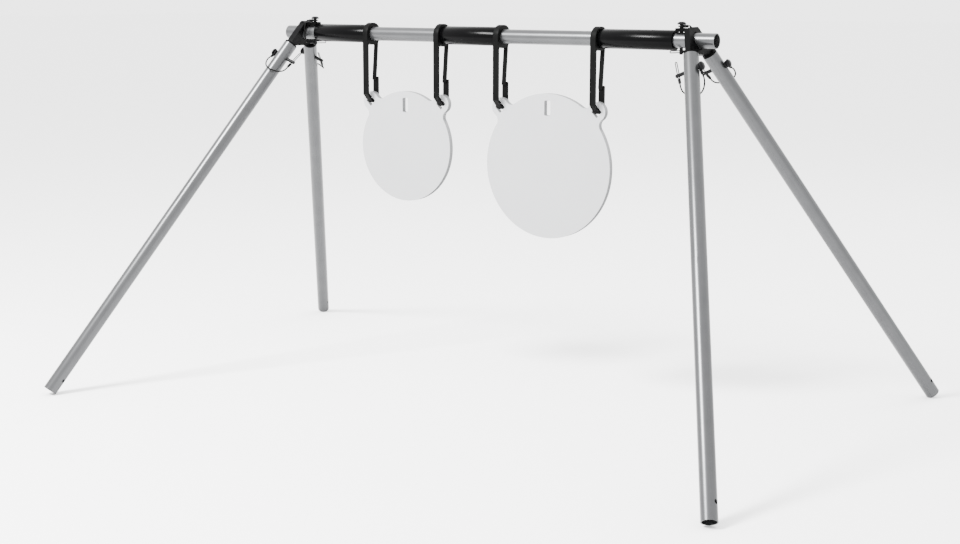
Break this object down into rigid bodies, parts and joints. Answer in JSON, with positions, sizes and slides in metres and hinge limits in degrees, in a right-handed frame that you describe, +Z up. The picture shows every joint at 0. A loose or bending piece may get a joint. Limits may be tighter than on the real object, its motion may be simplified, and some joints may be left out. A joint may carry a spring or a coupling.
{
  "type": "gong target stand",
  "caption": "Portable target stand: a round crossbar on splayed tube legs, with round steel gong plates hung from rubber hook straps.",
  "frame": {"origin": "on the ground, at the middle of the box round the stand without its pin lanyards and clips", "axes": "+X along the crossbar, from the small plate to the large one; -Y is the front, the side of the hooks' arms; +Z up"},
  "size_m": [1.4468, 0.9412, 0.6825],
  "materials": {
    "tube_steel": "drawn steel tube, cool grey, with long soft highlights and faint lengthwise marks",
    "bracket_coat": "black satin coating over welded plate",
    "sleeve_plastic": "glossy black plastic pipe",
    "hanger_rubber": "black moulded rubber, slightly dusty at its edges",
    "gong_paint": "pale cool grey coat over laser-cut steel plate, duller on the cut edge",
    "pin_coat": "black plated steel",
    "clip_wire": "black spring wire",
    "crimp_metal": "black crimped ferrule",
    "lanyard_cable": "black plastic-coated cable"
  },
  "bodies": {
    "frame": {"crossbar": "tube_steel", "left_yoke": "bracket_coat", "right_yoke": "bracket_coat", "left_lock_tab": "bracket_coat", "right_lock_tab": "bracket_coat", "left_front_stub": "bracket_coat", "left_rear_stub": "bracket_coat", "right_front_stub": "bracket_coat", "right_rear_stub": "bracket_coat", "left_front_leg": "tube_steel", "left_rear_leg": "tube_steel", "right_front_leg": "tube_steel", "right_rear_leg": "tube_steel"},
    "left_sleeve_body": {"left_sleeve": "sleeve_plastic"},
    "middle_sleeve_body": {"middle_sleeve": "sleeve_plastic"},
    "right_sleeve_body": {"right_sleeve": "sleeve_plastic"},
    "left_front_pin_set": {"left_front_pin": "pin_coat", "left_front_clip": "clip_wire", "left_front_crimps": "crimp_metal", "left_front_lanyard": "lanyard_cable"},
    "left_rear_pin_set": {"left_rear_pin": "pin_coat", "left_rear_clip": "clip_wire", "left_rear_crimps": "crimp_metal", "left_rear_lanyard": "lanyard_cable"},
    "right_front_pin_set": {"right_front_pin": "pin_coat", "right_front_clip": "clip_wire", "right_front_crimps": "crimp_metal", "right_front_lanyard": "lanyard_cable"},
    "right_rear_pin_set": {"right_rear_pin": "pin_coat", "right_rear_clip": "clip_wire", "right_rear_crimps": "crimp_metal", "right_rear_lanyard": "lanyard_cable"},
    "left_bar_pin_set": {"left_bar_pin": "pin_coat", "left_bar_clip": "clip_wire", "left_bar_crimps": "crimp_metal", "left_bar_lanyard": "lanyard_cable"},
    "right_bar_pin_set": {"right_bar_pin": "pin_coat", "right_bar_clip": "clip_wire", "right_bar_crimps": "crimp_metal", "right_bar_lanyard": "lanyard_cable"},
    "hanger_1_body": {"hanger_1": "hanger_rubber"},
    "hanger_1_gate_body": {"hanger_1_gate": "hanger_rubber"},
    "hanger_2_body": {"hanger_2": "hanger_rubber"},
    "hanger_2_gate_body": {"hanger_2_gate": "hanger_rubber"},
    "hanger_3_body": {"hanger_3": "hanger_rubber"},
    "hanger_3_gate_body": {"hanger_3_gate": "hanger_rubber"},
    "hanger_4_body": {"hanger_4": "hanger_rubber"},
    "hanger_4_gate_body": {"hanger_4_gate": "hanger_rubber"},
    "left_gong_body": {"left_gong": "gong_paint"},
    "right_gong_body": {"right_gong": "gong_paint"}
  },
  "joints": [
    {"name": "left_sleeve_spin", "type": "hinge", "parent": "frame", "child": "left_sleeve_body", "pos_m": [-0.30001, 0.01412, 0.65182], "axis": [1, 0, 0], "continuous": true},
    {"name": "middle_sleeve_spin", "type": "hinge", "parent": "frame", "child": "middle_sleeve_body", "pos_m": [-0.00513, 0.01412, 0.65182], "axis": [1, 0, 0], "continuous": true},
    {"name": "right_sleeve_spin", "type": "hinge", "parent": "frame", "child": "right_sleeve_body", "pos_m": [0.3352, 0.01412, 0.65182], "axis": [1, 0, 0], "continuous": true},
    {"name": "left_front_pin_slide", "type": "slide", "parent": "frame", "child": "left_front_pin_set", "axis": [-0.9171, -0.0964, 0.3867], "range_m": [0, 0.008]},
    {"name": "left_rear_pin_slide", "type": "slide", "parent": "frame", "child": "left_rear_pin_set", "axis": [-0.9171, -0.0964, 0.3867], "range_m": [0, 0.008]},
    {"name": "right_front_pin_slide", "type": "slide", "parent": "frame", "child": "right_front_pin_set", "axis": [0.9222, 0, 0.3867], "range_m": [0, 0.008]},
    {"name": "right_rear_pin_slide", "type": "slide", "parent": "frame", "child": "right_rear_pin_set", "axis": [0.9222, 0, 0.3867], "range_m": [0, 0.008]},
    {"name": "left_bar_pin_slide", "type": "slide", "parent": "frame", "child": "left_bar_pin_set", "axis": [0, 0, 1], "range_m": [0, 0.0025]},
    {"name": "right_bar_pin_slide", "type": "slide", "parent": "frame", "child": "right_bar_pin_set", "axis": [0, 0, 1], "range_m": [0, 0.0025]},
    {"name": "hanger_1_swing", "type": "hinge", "parent": "frame", "child": "hanger_1_body", "pos_m": [-0.23303, 0.01412, 0.65182], "axis": [1, 0, 0], "range_deg": [-60, 60]},
    {"name": "hanger_2_swing", "type": "hinge", "parent": "frame", "child": "hanger_2_body", "pos_m": [-0.07026, 0.01412, 0.65182], "axis": [1, 0, 0], "range_deg": [-60, 60]},
    {"name": "hanger_3_swing", "type": "hinge", "parent": "frame", "child": "hanger_3_body", "pos_m": [0.06001, 0.01412, 0.65182], "axis": [1, 0, 0], "range_deg": [-60, 60]},
    {"name": "hanger_4_swing", "type": "hinge", "parent": "frame", "child": "hanger_4_body", "pos_m": [0.2587, 0.01412, 0.65182], "axis": [1, 0, 0], "range_deg": [-60, 60]},
    {"name": "hanger_1_gate_flex", "type": "hinge", "parent": "hanger_1_body", "child": "hanger_1_gate_body", "pos_m": [-0.23303, 0.02772, 0.63822], "axis": [-1, 0, 0], "range_deg": [0, 15], "stiffness_Nm_per_rad": 1},
    {"name": "hanger_2_gate_flex", "type": "hinge", "parent": "hanger_2_body", "child": "hanger_2_gate_body", "pos_m": [-0.07026, 0.02772, 0.63822], "axis": [-1, 0, 0], "range_deg": [0, 15], "stiffness_Nm_per_rad": 1},
    {"name": "hanger_3_gate_flex", "type": "hinge", "parent": "hanger_3_body", "child": "hanger_3_gate_body", "pos_m": [0.06001, 0.02772, 0.63822], "axis": [-1, 0, 0], "range_deg": [0, 15], "stiffness_Nm_per_rad": 1},
    {"name": "hanger_4_gate_flex", "type": "hinge", "parent": "hanger_4_body", "child": "hanger_4_gate_body", "pos_m": [0.2587, 0.02772, 0.63822], "axis": [-1, 0, 0], "range_deg": [0, 15], "stiffness_Nm_per_rad": 1},
    {"name": "left_gong_swing", "type": "hinge", "parent": "hanger_1_body", "child": "left_gong_body", "pos_m": [-0.15165, 0.01412, 0.53382], "axis": [1, 0, 0], "range_deg": [-25, 25]},
    {"name": "right_gong_swing", "type": "hinge", "parent": "hanger_3_body", "child": "right_gong_body", "pos_m": [0.15935, 0.01412, 0.53382], "axis": [1, 0, 0], "range_deg": [-25, 25]}
  ],
  "couplings": [
    {"joint": "hanger_2_swing", "follows": "hanger_1_swing", "ratio": 1},
    {"joint": "hanger_4_swing", "follows": "hanger_3_swing", "ratio": 1}
  ]
}
